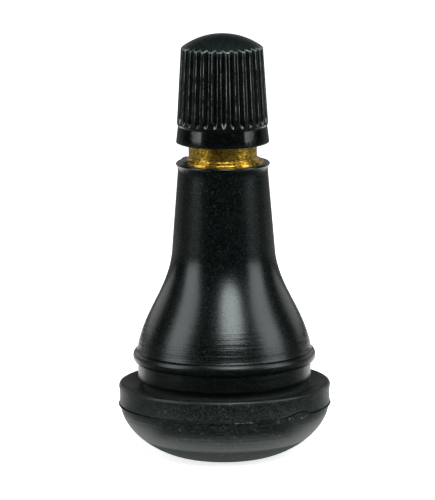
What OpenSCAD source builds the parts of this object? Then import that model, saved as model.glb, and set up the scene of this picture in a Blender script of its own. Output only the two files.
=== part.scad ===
/* [Rubber body] */
// Radius of the wheel rim's hole that the valve snaps into
rim_hole_r = 7.95; // [6.5:0.05:8.5]
// How much larger than that hole the rubber neck in the groove is, in radius
squeeze = 1.47; // [0.8:0.01:1.8]
// How far the bulb stands out of the groove
bulb_out = 2.11; // [1.5:0.01:2.8]
// How far the bulb's underside steps in under its mould line
bulb_in = 0.17; // [0.05:0.01:0.4]
// Height of the bulb's rounded underside
bulb_h = 5.5; // [4.5:0.1:7]
// Height of the bulb's side above the mould line
side_h = 2.45; // [1.8:0.05:3.5]
// Depth of the shallow waist round the bulb's side
waist_in = 0.08; // [0.02:0.01:0.3]
// Height of the mould line, the thin ridge round the bulb
mould_t = 0.16; // [0.08:0.01:0.3]
// How far the mould line stands out of the bulb's side
mould_out = 0.05; // [0.02:0.01:0.15]
// Height of the groove between the bulb's top edge and the snap bead
groove_h = 2.25; // [1.8:0.05:3.5]
// How far the bulb's top face dips toward the groove
dip_h = 0.55; // [0.2:0.05:0.9]
// Depth of the undercut below the neck
undercut_in = 0.78; // [0.3:0.02:1.1]
// How far the snap bead stands out of the groove
bead_out = 0.53; // [0.3:0.01:1]
// Height of the snap bead
bead_h = 1.4; // [1:0.1:2.4]
// How far the foot of the flare over the bead stands out of the groove
flare_out = 0.07; // [0:0.01:0.12]
// Height of the flare above the snap bead
flare_h = 10.95; // [8:0.05:14]
// Height of the long neck's straight taper
neck_h = 8.65; // [6:0.05:12]
// Taper of the long neck on each side, in degrees
neck_taper = 4.6; // [3:0.1:6]
// Thickness of the rubber beside the stem's flange, at the top of the neck
neck_wall = 0.45; // [0.3:0.01:0.9]
// How far the thin lip at the top stands out of the neck
lip_out = 0.21; // [0.1:0.01:0.5]
// Height of the lip with the curve under it
lip_h = 0.95; // [0.7:0.05:1.5]
// Thickness of the lip at its edge
lip_t = 0.22; // [0.12:0.01:0.3]
// Thickness of the rubber film over one side of the stem's flange
film_t = 0.12; // [0.06:0.01:0.2]
// How far that film reaches in over the flange
film_w = 0.64; // [0.3:0.01:0.7]
// Radius of the flat foot that the valve stands on
foot_r = 4.4; // [3.4:0.1:6]
// Radius of the air hole in the foot
air_r = 2.6; // [2.4:0.01:3]
// Length of the air hole up to the brass stem
air_l = 7.4; // [6:0.1:9]

/* [Brass stem] */
// Outer radius of the cap thread
thread_r = 3.85; // [3.4:0.01:4.4]
// Length of the cap thread
thread_l = 7.4; // [6:0.1:9]
// How far the plain land under the thread lies inside it
land_in = 0.14; // [0.05:0.01:0.3]
// Height of the plain land
land_h = 2.25; // [1.8:0.05:4]
// How far the raised ring on the flange stands out of the land
ring_out = 0.24; // [0.1:0.01:0.3]
// Height of that ring
ring_h = 0.25; // [0.15:0.01:0.5]
// How far the flange at the top of the rubber stands out of the land
flange_out = 0.74; // [0.65:0.01:1.2]
// Thickness of the flange
flange_t = 0.35; // [0.2:0.01:0.6]
// How deep the flange's underside sits below the rubber's lip
flange_sink = 0.15; // [0.05:0.01:0.3]
// How far the shank that is moulded into the rubber lies inside the thread
shank_in = 0.25; // [0.1:0.05:0.4]
// Number of keying grooves round the shank
key_count = 4; // [0:1:6]
// Width of each keying groove
key_w = 0.9; // [0.4:0.1:1.4]
// Depth of each keying groove
key_in = 0.4; // [0.2:0.05:0.6]
// How far the collar at the stem's foot stands out of the shank
collar_out = 1.1; // [0.5:0.1:2]
// Thickness of that collar
collar_t = 1.2; // [0.8:0.1:2]
// Height of the conical seat that the core seals on
seat_h = 1.6; // [1.2:0.1:2.2]

/* [Cap] */
// Height of the plain land that shows under the closed cap
land_show_h = 1.65; // [1:0.05:1.9]
// Thickness of the cap's lip
skirt_t = 1.16; // [1:0.01:1.6]
// Taper of the plain skirt above the lip, in degrees
skirt_taper = 7.1; // [4:0.1:8]
// Height of the plain skirt
skirt_h = 1.9; // [1.2:0.05:3]
// Thickness of the cap's wall under its flutes, at their lower end
cap_wall = 0.725; // [0.6:0.005:1.2]
// Depth of a flute between two ribs
flute_in = 0.31; // [0.2:0.01:0.4]
// Width of a flute between two ribs
flute_w = 0.66; // [0.4:0.02:0.76]
// Number of ribs round the cap
rib_count = 30; // [16:1:36]
// Taper of the ribs on each side, in degrees
rib_taper = 3.46; // [2:0.01:4]
// Angle of the first flute from the +X side, in degrees
flute_turn = 7.8; // [0:0.1:12]
// Radius of the cutter that ends each flute above the skirt
cutter_r = 1.5; // [1:0.1:2.5]
// Thickness of the crown over the pocket inside it
crown_t = 1.27; // [1:0.01:2]
// Height of the crown above the ribs
crown_h = 1.5; // [1:0.05:1.9]
// Radius of the round where the crown meets the ribs
crown_edge = 0.15; // [0.1:0.05:0.5]
// Thickness of the sealing washer
washer_t = 0.88; // [0.5:0.02:1.2]
// How far the washer's hole clears the stem's core chamber
washer_over = 0.31; // [0.2:0.01:0.5]
// How far the pocket over the pin lies inside the washer's hole
pocket_in = 0.1; // [0.05:0.01:0.3]
// Room left over the pin in that pocket when the core is unscrewed
pocket_gap = 0.35; // [0.1:0.05:0.6]

/* [Valve core] */
// How far the core can be unscrewed under the closed cap
core_rise = 2.47; // [1:0.01:3]
// How far the pin is pushed in to open the valve
stroke = 1.2; // [0.8:0.1:1.5]
// Radius of the pin
pin_r = 0.5; // [0.4:0.01:0.6]
// How far the pin's head and its riveted foot stand out of it
pin_head_out = 0.3; // [0.24:0.01:0.4]
// Thickness of the pin's head
pin_head_t = 0.45; // [0.3:0.01:0.6]
// How far the pin's head sits below the stem's mouth
pin_sink = 0.2; // [0:0.05:0.5]
// Radius of the core's thread
core_thread_r = 2.58; // [2.4:0.01:2.8]
// Length of the core's thread
core_thread_l = 2.9; // [2:0.1:3.5]
// How far the key head lies inside the core's thread
key_head_in = 0.28; // [0.1:0.01:0.5]
// Height of the key head
key_head_h = 0.9; // [0.6:0.05:1.2]
// Width of the key head across its two flats
key_flat_w = 2.6; // [2.2:0.1:3]
// Clearance round the pin in the swivel's hole
swivel_gap = 0.22; // [0.15:0.01:0.23]
// Thickness of the swivel's neck round that hole
swivel_neck_t = 0.58; // [0.4:0.01:0.65]
// Length of the swivel's neck
swivel_neck_h = 0.8; // [0.6:0.05:1.2]
// How far the disc that holds the swivel stands out of its neck
swivel_disc_out = 0.4; // [0.25:0.01:0.45]
// Thickness of that disc
swivel_disc_t = 0.4; // [0.25:0.05:0.6]
// Wall of the barrel's crimped socket round the disc
socket_wall = 0.29; // [0.2:0.01:0.32]
// Thickness of the socket's floor over the gasket
socket_floor_t = 0.5; // [0.3:0.05:0.7]
// Radius of the spring's wire
wire_r = 0.14; // [0.1:0.01:0.15]
// Number of turns in the spring
coil_turns = 9; // [6:1:11]
// Clearance between the spring and the pin inside it
coil_gap = 0.18; // [0.1:0.01:0.2]
// Length of the spring at rest
spring_l = 7.5; // [6:0.1:9]
// Clearance between the spring and the barrel round it
spring_gap = 0.16; // [0.1:0.01:0.2]
// Height of the collar on the pin that presses on the spring
spring_collar_h = 0.6; // [0.4:0.05:0.9]
// Room over that collar in the barrel
collar_room_h = 0.95; // [0.3:0.05:1.5]
// Wall of the barrel round the spring
barrel_wall = 0.38; // [0.25:0.01:0.42]
// Thickness of the barrel's floor under the spring
barrel_floor_t = 0.8; // [0.5:0.05:1.2]
// Clearance for the air round the pin in that floor
floor_gap = 0.3; // [0.2:0.01:0.32]
// How far the barrel's nose, which closes on the cup's seal, lies inside the barrel
nose_in = 0.2; // [0.1:0.01:0.3]
// Clearance between the nose and the cup's wall round it
cup_gap = 0.15; // [0.1:0.01:0.2]
// Wall and floor thickness of the valve cup
cup_t = 0.25; // [0.15:0.01:0.3]
// How far the cup's wall stands above its seal
cup_rim_h = 0.3; // [0.1:0.05:0.35]
// Thickness of the cup's seal
cup_seal_t = 1; // [0.6:0.05:1.4]
// Clearance for the air round the valve cup in the stem
passage_gap = 0.25; // [0.15:0.01:0.3]

/* [Fits] */
// Radial clearance between the cap and the stem's thread
cap_fit = 0.08; // [0.04:0.01:0.1]
// Radial clearance between the core's thread and the stem
core_fit = 0.06; // [0.03:0.01:0.1]
// Gap at the washer, the seat and the other faces that lift apart
seat_fit = 0.02; // [0.01:0.01:0.05]
// Gap round the swivel and beside the spring's collar
run_fit = 0.06; // [0.03:0.01:0.08]

/* [Hidden] */
$fn = 96;
overrun = 0.5;
curve_steps = 8;
edge_steps = 3;
arc_step = 15;
wire_sides = 8;
steps_per_turn = 18;
rubber_color = "#1b1c1e";
brass_color = "#c8a458";
plastic_color = "#141517";
seal_color = "#2a2622";
steel_color = "#a8abae";

// Exponents of the bulb's underside, at its side and at its foot
bulb_side_power = 1.27;
bulb_foot_power = 1.11;
// Lengths of the flare's two curve handles, as shares of its height
flare_foot_share = 0.393;
flare_top_share = 0.395;
// Start of the flare's slope above the bead, in degrees
flare_foot_taper = 9.3;
// Where the undercut's bends lie, as shares of the groove's height
undercut_share = 0.13;
neck_start_share = 0.36;
// Rounding of the bulb's top edge, as a share of its side
button_edge_share = 0.18;

// Radii of the core, from the pin outwards
pin_head_r = pin_r + pin_head_out;
swivel_bore_r = pin_r + swivel_gap;
swivel_neck_r = swivel_bore_r + swivel_neck_t;
swivel_disc_r = swivel_neck_r + swivel_disc_out;
socket_r = swivel_disc_r + run_fit + socket_wall;
key_head_r = core_thread_r - key_head_in;
core_edge = core_thread_r / 12;
coil_r = pin_r + coil_gap + wire_r;
spring_room_r = coil_r + wire_r + spring_gap;
barrel_r = spring_room_r + barrel_wall;
floor_hole_r = pin_r + floor_gap;
nose_r = barrel_r - nose_in;
cup_r = nose_r + cup_gap + cup_t;

// Radii of the stem
bore_r = cup_r + passage_gap;
chamber_r = core_thread_r + core_fit;
land_r = thread_r - land_in;
ring_r = land_r + ring_out;
flange_r = land_r + flange_out;
shank_r = thread_r - shank_in;
collar_r = shank_r + collar_out;
mouth_edge = (thread_r - chamber_r) / 4;

// Radii of the rubber body
groove_r = rim_hole_r + squeeze;
button_r = groove_r + bulb_out;
bulb_r = button_r - bulb_in;
neck_r = flange_r + neck_wall;
neck_foot_r = neck_r + neck_h * tan(neck_taper);
lip_r = neck_r + lip_out;
film_r = flange_r + film_t;
flare_r = groove_r + flare_out;

// Radii of the cap
cap_bore_r = thread_r + cap_fit;
cap_lip_r = cap_bore_r + skirt_t;
cap_edge = skirt_t / 5;
skirt_top_r = cap_lip_r - skirt_h * tan(skirt_taper);
rib_r = cap_bore_r + cap_wall + flute_in;
rib_foot_h = (rib_r - skirt_top_r) * 3;
washer_hole_r = chamber_r + washer_over;
pocket_r = washer_hole_r - pocket_in;

// Heights up the rubber body
mould_z = bulb_h;
side_z = mould_z + mould_t;
button_z = side_z + side_h;
button_edge = side_h * button_edge_share;
bead_z = button_z + groove_h + bead_h / 2;
flare_z = bead_z + bead_h / 2;
neck_z = flare_z + flare_h;
lip_foot_z = neck_z + neck_h;
lip_z = lip_foot_z + lip_h;

// Heights up the stem
stem_z = air_l;
collar_z = stem_z + collar_t;
flange_z = lip_z - flange_sink;
ring_z = flange_z + flange_t;
film_z = ring_z + film_t;
land_z = ring_z + ring_h;
thread_z = land_z + land_h;
mouth_z = thread_z + thread_l;
key_pitch = (flange_z - collar_z) / (key_count + 1);

// Heights of the core's pieces, from the mouth down
pin_top_z = mouth_z - pin_sink;
pin_head_z = pin_top_z - pin_head_t;
swivel_top_z = pin_head_z - stroke - run_fit;
core_thread_top_z = swivel_top_z - key_head_h;
core_thread_z = core_thread_top_z - core_thread_l;
disc_top_z = core_thread_z - swivel_neck_h;
disc_z = disc_top_z - swivel_disc_t;
socket_room_z = disc_z - run_fit;
socket_z = socket_room_z - socket_floor_t;
socket_top_z = core_thread_z - swivel_neck_h / 4;
seat_top_z = socket_z + run_fit;
seat_z = seat_top_z - seat_h;
gasket_z = seat_z + run_fit;
spring_collar_z = socket_room_z - collar_room_h - spring_collar_h;
spring_z = spring_collar_z - spring_l;
barrel_z = spring_z - barrel_floor_t;
cup_seal_top_z = barrel_z - seat_fit;
cup_seal_z = cup_seal_top_z - cup_seal_t;
cup_z = cup_seal_z - cup_t;
cup_top_z = cup_seal_top_z + cup_rim_h;
nose_top_z = cup_top_z + cup_rim_h;
pin_foot_z = cup_z - pin_head_t;

// Heights up the cap
cap_z = land_z + land_show_h;
rib_z = cap_z + skirt_h;
washer_z = mouth_z + seat_fit;
washer_seat_z = washer_z + washer_t + seat_fit;
pocket_z = pin_top_z + core_rise + pocket_gap;
cap_top_z = pocket_z + crown_t;
crown_z = cap_top_z - crown_h;
crown_r = rib_r - (crown_z - rib_z) * tan(rib_taper);
crown_ball_r = (crown_r * crown_r + crown_h * crown_h) / (2 * crown_h);
crown_angle = asin((crown_r - crown_edge) / crown_ball_r);

// Points of a curve with one handle, for a rounded corner
function corner(a, b, c, n = curve_steps) = [
    for (i = [0:n]) let (t = i / n) a * (1 - t) * (1 - t) + b * 2 * t * (1 - t) + c * t * t
];

// Points of a curve with two handles
function sweep_curve(a, b, c, d, n) = [
    for (i = [0:n])
        let (t = i / n, s = 1 - t)
            a * s * s * s + b * 3 * s * s * t + c * 3 * s * t * t + d * t * t * t
];

// The bulb's underside, from the foot at 90 degrees to its side at 0
function bulb_point(angle) = [
    foot_r + (bulb_r - foot_r) * pow(cos(angle), bulb_side_power),
    bulb_h * (1 - pow(sin(angle), bulb_foot_power))
];

function bulb_points() = concat(
    [for (angle = [90:-6:0]) bulb_point(angle)],
    [[button_r + mould_out, mould_z], [button_r + mould_out, side_z]],
    corner(
        [button_r, side_z],
        [button_r - waist_in * 2, side_z + side_h / 2],
        [button_r, button_z - button_edge]
    ),
    corner(
        [button_r, button_z - button_edge],
        [button_r, button_z],
        [button_r - button_edge, button_z]
    )
);

function groove_points() = let (
    deep_r = groove_r - undercut_in,
    bend_z = button_z + groove_h * undercut_share,
    neck_start_z = button_z + groove_h * neck_start_share
) concat(
    corner(
        [groove_r - undercut_in / 2, button_z - dip_h],
        [deep_r - dip_h / 4, button_z - dip_h],
        [deep_r, button_z - dip_h / 3]
    ),
    sweep_curve(
        [deep_r, button_z - dip_h / 3],
        [deep_r, bend_z],
        [groove_r, bend_z],
        [groove_r, neck_start_z],
        curve_steps
    )
);

function bead_points() = [
    for (angle = [-90:arc_step:90 - arc_step])
        [groove_r + bead_out * cos(angle), bead_z + bead_h / 2 * sin(angle)]
];

function flare_points() = let (
    foot = flare_h * flare_foot_share,
    top = flare_h * flare_top_share
) sweep_curve(
    [flare_r, flare_z],
    [flare_r - foot * tan(flare_foot_taper), flare_z + foot],
    [neck_foot_r + top * tan(neck_taper), neck_z - top],
    [neck_foot_r, neck_z],
    curve_steps * 3
);

function lip_points() = concat(
    corner(
        [neck_r, lip_foot_z],
        [neck_r, lip_z - lip_t * 2],
        [lip_r, lip_z - lip_t]
    ),
    corner([lip_r, lip_z - lip_t], [lip_r, lip_z], [lip_r - lip_t, lip_z])
);

module rubber_body() {
    color(rubber_color) difference() {
        union() {
            rotate_extrude() polygon(concat(
                [[0, 0]],
                bulb_points(),
                groove_points(),
                bead_points(),
                flare_points(),
                lip_points(),
                [[0, lip_z]]
            ));
            film();
        }
        rotate_extrude() polygon(stem_points());
        translate([0, 0, -overrun]) cylinder(r = air_r, h = air_l + overrun * 2);
        air_mouth();
    }
}

// The film that the mould leaves over the flange on the -X side
module film() {
    intersection() {
        translate([0, 0, flange_z]) cylinder(r = film_r, h = film_z - flange_z);
        translate([-flange_r - film_w, -film_r, flange_z])
            cube([film_w * 2, film_r * 2, film_z - flange_z]);
    }
}

// Rounds off the edge of the air hole in the foot
module air_mouth() {
    edge = (foot_r - air_r) / 5;
    translate([0, 0, -overrun])
        cylinder(r1 = air_r + edge + overrun, r2 = air_r, h = edge + overrun);
}

// The shank's side, with a groove every pitch that locks it in the rubber
function shank_points() = [
    for (i = [1:1:key_count])
        let (z = collar_z + i * key_pitch)
            each [
                [shank_r, z - key_w / 2],
                [shank_r - key_in, z - key_w / 4],
                [shank_r - key_in, z + key_w / 4],
                [shank_r, z + key_w / 2]
            ]
];

// The stem's outline with no bore, which is also the room it takes in the rubber
function stem_points() = concat(
    [[0, stem_z], [collar_r, stem_z], [collar_r, collar_z], [shank_r, collar_z]],
    shank_points(),
    [
        [shank_r, flange_z],
        [flange_r, flange_z],
        [flange_r, ring_z],
        [ring_r, ring_z],
        [ring_r, land_z],
        [land_r, land_z],
        [land_r, thread_z],
        [thread_r, thread_z + thread_r - land_r],
        [thread_r, mouth_z - mouth_edge],
        [thread_r - mouth_edge, mouth_z],
        [0, mouth_z]
    ]
);

function stem_bore_points() = [
    [0, stem_z - overrun],
    [bore_r, stem_z - overrun],
    [bore_r, seat_z],
    [chamber_r, seat_top_z],
    [chamber_r, mouth_z - mouth_edge],
    [chamber_r + mouth_edge + overrun, mouth_z + overrun],
    [0, mouth_z + overrun]
];

module brass_stem() {
    color(brass_color) difference() {
        rotate_extrude() polygon(stem_points());
        rotate_extrude() polygon(stem_bore_points());
    }
}

function cap_points() = concat(
    [[0, cap_z]],
    corner(
        [cap_lip_r - cap_edge, cap_z],
        [cap_lip_r, cap_z],
        [cap_lip_r - cap_edge * tan(skirt_taper), cap_z + cap_edge]
    ),
    corner(
        [skirt_top_r, rib_z],
        [rib_r, rib_z + rib_foot_h / 4],
        [rib_r - rib_foot_h * tan(rib_taper), rib_z + rib_foot_h],
        edge_steps
    ),
    corner(
        [crown_r + crown_edge * tan(rib_taper), crown_z - crown_edge],
        [crown_r, crown_z],
        crown_point(crown_angle),
        edge_steps
    ),
    [for (i = [1:curve_steps]) crown_point(crown_angle * (1 - i / curve_steps))]
);

function crown_point(angle) = [
    crown_ball_r * sin(angle),
    cap_top_z - crown_ball_r * (1 - cos(angle))
];

function cap_bore_points() = [
    [0, cap_z - overrun],
    [cap_bore_r + cap_edge + overrun, cap_z - overrun],
    [cap_bore_r, cap_z + cap_edge],
    [cap_bore_r, washer_seat_z],
    [pocket_r, washer_seat_z],
    [pocket_r, pocket_z],
    [0, pocket_z]
];

// One V flute between two ribs, with the round run-out that its cutter leaves
module flute() {
    cut_share = 1.3;
    cut_w = flute_w / 2 * cut_share;
    cut_in = flute_in * cut_share;
    floor_z = rib_z + rib_foot_h;
    translate([rib_r - flute_in, 0, floor_z]) rotate([0, -rib_taper, 0]) {
        linear_extrude(crown_z + crown_edge + overrun - floor_z)
            polygon([[0, 0], [cut_in, -cut_w], [cut_in, cut_w]]);
        translate([cutter_r, 0, 0]) rotate([90, 0, 0]) rotate_extrude() polygon([
            [0, -cut_w],
            [cutter_r - cut_in, -cut_w],
            [cutter_r, 0],
            [cutter_r - cut_in, cut_w],
            [0, cut_w]
        ]);
    }
}

module cap_shell() {
    color(plastic_color) difference() {
        rotate_extrude() polygon(cap_points());
        rotate_extrude() polygon(cap_bore_points());
        for (i = [0:rib_count - 1]) rotate([0, 0, flute_turn + i * 360 / rib_count]) flute();
    }
}

module ring(outer_r, inner_r, z, h) {
    translate([0, 0, z]) difference() {
        cylinder(r = outer_r, h = h);
        translate([0, 0, -overrun]) cylinder(r = inner_r, h = h + overrun * 2);
    }
}

module cap_seal() {
    color(seal_color) ring(thread_r, washer_hole_r, washer_z, washer_t);
}

module core_swivel() {
    color(brass_color) difference() {
        union() {
            intersection() {
                translate([0, 0, core_thread_top_z - core_edge])
                    cylinder(r = key_head_r, h = key_head_h + core_edge);
                translate([-key_flat_w / 2, -key_head_r, core_thread_top_z - core_edge])
                    cube([key_flat_w, key_head_r * 2, key_head_h + core_edge]);
            }
            rotate_extrude() polygon([
                [0, disc_z],
                [swivel_disc_r, disc_z],
                [swivel_disc_r, disc_top_z],
                [swivel_neck_r, disc_top_z],
                [swivel_neck_r, core_thread_z],
                [core_thread_r - core_edge, core_thread_z],
                [core_thread_r, core_thread_z + core_edge],
                [core_thread_r, core_thread_top_z - core_edge],
                [core_thread_r - core_edge, core_thread_top_z],
                [0, core_thread_top_z]
            ]);
        }
        translate([0, 0, disc_z - overrun])
            cylinder(r = swivel_bore_r, h = swivel_top_z - disc_z + overrun * 2);
    }
}

module core_barrel() {
    disc_room_r = swivel_disc_r + run_fit;
    color(brass_color) difference() {
        rotate_extrude() polygon([
            [0, barrel_z],
            [nose_r, barrel_z],
            [nose_r, nose_top_z],
            [barrel_r, nose_top_z],
            [barrel_r, socket_z],
            [socket_r, socket_z],
            [socket_r, disc_top_z + run_fit],
            [socket_r - core_edge, socket_top_z],
            [0, socket_top_z]
        ]);
        rotate_extrude() polygon([
            [0, barrel_z - overrun],
            [floor_hole_r, barrel_z - overrun],
            [floor_hole_r, spring_z],
            [spring_room_r, spring_z],
            [spring_room_r, socket_room_z],
            [disc_room_r, socket_room_z],
            [disc_room_r, disc_top_z + run_fit],
            [swivel_neck_r + run_fit, disc_top_z + run_fit],
            [swivel_neck_r + run_fit, socket_top_z + overrun],
            [0, socket_top_z + overrun]
        ]);
    }
}

// Radius of the stem's conical seat at a height
function seat_r(z) = bore_r + (chamber_r - bore_r) * (z - seat_z) / seat_h;

module core_gasket() {
    color(seal_color) rotate_extrude() polygon([
        [barrel_r, gasket_z],
        [seat_r(gasket_z) - seat_fit * 2, gasket_z],
        [seat_r(socket_z) - seat_fit * 2, socket_z],
        [barrel_r, socket_z]
    ]);
}

module core_pin() {
    color(steel_color) rotate_extrude() polygon([
        [0, pin_foot_z],
        [pin_head_r, pin_foot_z],
        [pin_head_r, cup_z],
        [pin_r, cup_z],
        [pin_r, pin_head_z],
        [pin_head_r, pin_head_z],
        [pin_head_r, pin_top_z - pin_head_t / 3],
        [pin_r, pin_top_z],
        [0, pin_top_z]
    ]);
}

module spring_collar() {
    color(brass_color)
        ring(spring_room_r - run_fit, pin_r, spring_collar_z, spring_collar_h);
}

// A round wire swept along the coil, closed at both ends
module core_spring() {
    steps = coil_turns * steps_per_turn;
    rise = spring_l - wire_r * 2;
    lean = atan(rise / (coil_turns * 2 * PI * coil_r));
    points = [
        for (i = [0:steps])
            let (turn = i * 360 / steps_per_turn, z = spring_z + wire_r + rise * i / steps)
                for (k = [0:wire_sides - 1])
                    let (
                        side = k * 360 / wire_sides,
                        out = coil_r + wire_r * cos(side),
                        along = -wire_r * sin(side) * sin(lean)
                    ) [
                        out * cos(turn) - along * sin(turn),
                        out * sin(turn) + along * cos(turn),
                        z + wire_r * sin(side) * cos(lean)
                    ]
    ];
    sides = [
        for (i = [0:steps - 1], k = [0:wire_sides - 1])
            let (
                next = (k + 1) % wire_sides,
                a = i * wire_sides + k,
                b = i * wire_sides + next,
                c = (i + 1) * wire_sides + next,
                d = (i + 1) * wire_sides + k
            )
                each [[a, b, c], [a, c, d]]
    ];
    foot = [[for (k = [wire_sides - 1:-1:0]) k]];
    top = [[for (k = [0:wire_sides - 1]) steps * wire_sides + k]];
    color(steel_color) polyhedron(points, concat(sides, foot, top));
}

module valve_cup() {
    color(brass_color) rotate_extrude() polygon([
        [pin_r, cup_z],
        [cup_r, cup_z],
        [cup_r, cup_top_z],
        [cup_r - cup_t, cup_top_z],
        [cup_r - cup_t, cup_seal_z],
        [pin_r, cup_seal_z]
    ]);
}

module cup_seal() {
    color(seal_color) ring(cup_r - cup_t, pin_r, cup_seal_z, cup_seal_t);
}

rubber_body();
brass_stem();
cap_shell();
cap_seal();
core_swivel();
core_barrel();
core_gasket();
core_pin();
spring_collar();
core_spring();
valve_cup();
cup_seal();
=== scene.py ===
import math
import bmesh
import bpy
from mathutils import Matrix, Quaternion, Vector, noise


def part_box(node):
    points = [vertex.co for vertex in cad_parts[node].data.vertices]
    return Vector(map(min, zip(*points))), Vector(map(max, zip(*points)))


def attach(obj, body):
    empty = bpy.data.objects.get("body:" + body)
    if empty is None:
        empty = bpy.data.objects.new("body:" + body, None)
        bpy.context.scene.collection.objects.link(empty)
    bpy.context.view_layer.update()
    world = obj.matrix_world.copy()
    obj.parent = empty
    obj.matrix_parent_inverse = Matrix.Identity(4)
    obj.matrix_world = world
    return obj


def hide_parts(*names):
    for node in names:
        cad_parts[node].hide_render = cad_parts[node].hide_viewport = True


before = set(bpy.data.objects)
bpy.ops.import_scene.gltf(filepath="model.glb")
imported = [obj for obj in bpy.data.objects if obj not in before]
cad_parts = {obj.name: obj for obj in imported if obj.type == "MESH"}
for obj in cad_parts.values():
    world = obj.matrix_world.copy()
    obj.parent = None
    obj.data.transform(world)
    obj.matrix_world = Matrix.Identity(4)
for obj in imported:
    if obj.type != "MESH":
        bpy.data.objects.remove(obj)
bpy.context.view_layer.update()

mm = 0.001  # Blender works in metres
bodyLow, bodyHigh = [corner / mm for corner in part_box("rubber_body")]
stemLow, stemHigh = [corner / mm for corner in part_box("brass_stem")]
capLow, capHigh = [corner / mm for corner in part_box("cap_shell")]
swivelLow, swivelHigh = [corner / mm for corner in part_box("core_swivel")]
pinLow, pinHigh = [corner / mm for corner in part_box("core_pin")]


# Curves of the profiles, in mm as (radius, height)

def mix(a, b, share):
    return tuple(p + (q - p) * share for p, q in zip(a, b))


def line(a, b, steps):
    return [mix(a, b, i / steps) for i in range(steps + 1)]


def rounded(a, b, c, steps=8):
    return [mix(mix(a, b, i / steps), mix(b, c, i / steps), i / steps) for i in range(steps + 1)]


def swept(a, b, c, d, steps):
    made = []
    for i in range(steps + 1):
        t = i / steps
        ab, bc, cd = mix(a, b, t), mix(b, c, t), mix(c, d, t)
        made.append(mix(mix(ab, bc, t), mix(bc, cd, t), t))
    return made


def smoothMin(a, b, width):
    near = max(width - abs(a - b), 0.0) / width
    return min(a, b) - near * near * width / 4


def smoothMax(a, b, width):
    return -smoothMin(-a, -b, width)


# Meshes

def newPiece(name, points, faces, **masks):
    mesh = bpy.data.meshes.new(name)
    mesh.from_pydata([Vector(p) * mm for p in points], [], faces)
    for key, values in masks.items():
        mesh.attributes.new(key, "FLOAT", "POINT").data.foreach_set("value", values)
    piece = bpy.data.objects.new(name, mesh)
    bpy.context.scene.collection.objects.link(piece)
    return piece


def weld(piece, gap=1e-7):
    bm = bmesh.new()
    bm.from_mesh(piece.data)
    bmesh.ops.remove_doubles(bm, verts=bm.verts, dist=gap)
    bm.to_mesh(piece.data)
    bm.free()


def shade(piece, angle=32):
    piece.data.polygons.foreach_set("use_smooth", [True] * len(piece.data.polygons))
    piece.data.set_sharp_from_angle(angle=math.radians(angle))
    piece.data.update()


# Turns a closed loop of rows into a ring-shaped mesh. A row is (radius, height) or
# (radius, height, share of thread). A radius or height may be a function of the angle.
def turned(name, rows, segments):
    points, faces, masks = [], [], []
    count = len(rows)
    for row in rows:
        for j in range(segments):
            angle = 2 * math.pi * j / segments
            radius, height = [v(angle) if callable(v) else v for v in row[:2]]
            points.append((radius * math.cos(angle), radius * math.sin(angle), height))
            masks.append(row[2] if len(row) > 2 else 0.0)
    for i in range(count):
        below, above = i * segments, (i + 1) % count * segments
        for j in range(segments):
            k = (j + 1) % segments
            faces.append((below + j, below + k, above + k, above + j))
    return newPiece(name, points, faces, threadShare=masks)


# Node trees

# An input is a value, a socket, or a node that gives its first output
def setInputs(tree, node, inputs):
    for key, value in inputs.items():
        source = value.outputs[0] if isinstance(value, bpy.types.Node) else value
        if isinstance(source, bpy.types.NodeSocket):
            tree.links.new(source, node.inputs[key])
        else:
            node.inputs[key].default_value = source


def addNode(tree, kind, inputs=None, **settings):
    node = tree.nodes.new(kind)
    for key, value in settings.items():
        setattr(node, key, value)
    setInputs(tree, node, inputs or {})
    return node


def newShapeTree(name, inputs):
    tree = bpy.data.node_groups.new(name, "GeometryNodeTree")
    tree.interface.new_socket("Geometry", in_out="INPUT", socket_type="NodeSocketGeometry")
    for key, kind in inputs:
        tree.interface.new_socket(key, in_out="INPUT", socket_type="NodeSocket" + kind)
    tree.interface.new_socket("Geometry", in_out="OUTPUT", socket_type="NodeSocketGeometry")
    return tree, tree.nodes.new("NodeGroupInput").outputs


def endShapeTree(tree, geometry, material):
    made = addNode(tree, "GeometryNodeRealizeInstances", {"Geometry": geometry})
    made = addNode(tree, "GeometryNodeSetMaterial", {"Geometry": made, "Material": material})
    addNode(tree, "NodeGroupOutput", {"Geometry": made})


def applyTree(piece, tree, values):
    modifier = piece.modifiers.new(tree.name, "NODES")
    modifier.node_group = tree
    for item in tree.interface.items_tree:
        if item.item_type == "SOCKET" and item.in_out == "INPUT" and item.name in values:
            modifier[item.identifier] = values[item.name]
    graph = bpy.context.evaluated_depsgraph_get()
    made = bpy.data.meshes.new_from_object(piece.evaluated_get(graph), depsgraph=graph)
    before = piece.data
    piece.modifiers.remove(modifier)
    piece.data = made
    bpy.data.meshes.remove(before)
    made.name = piece.name


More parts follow.
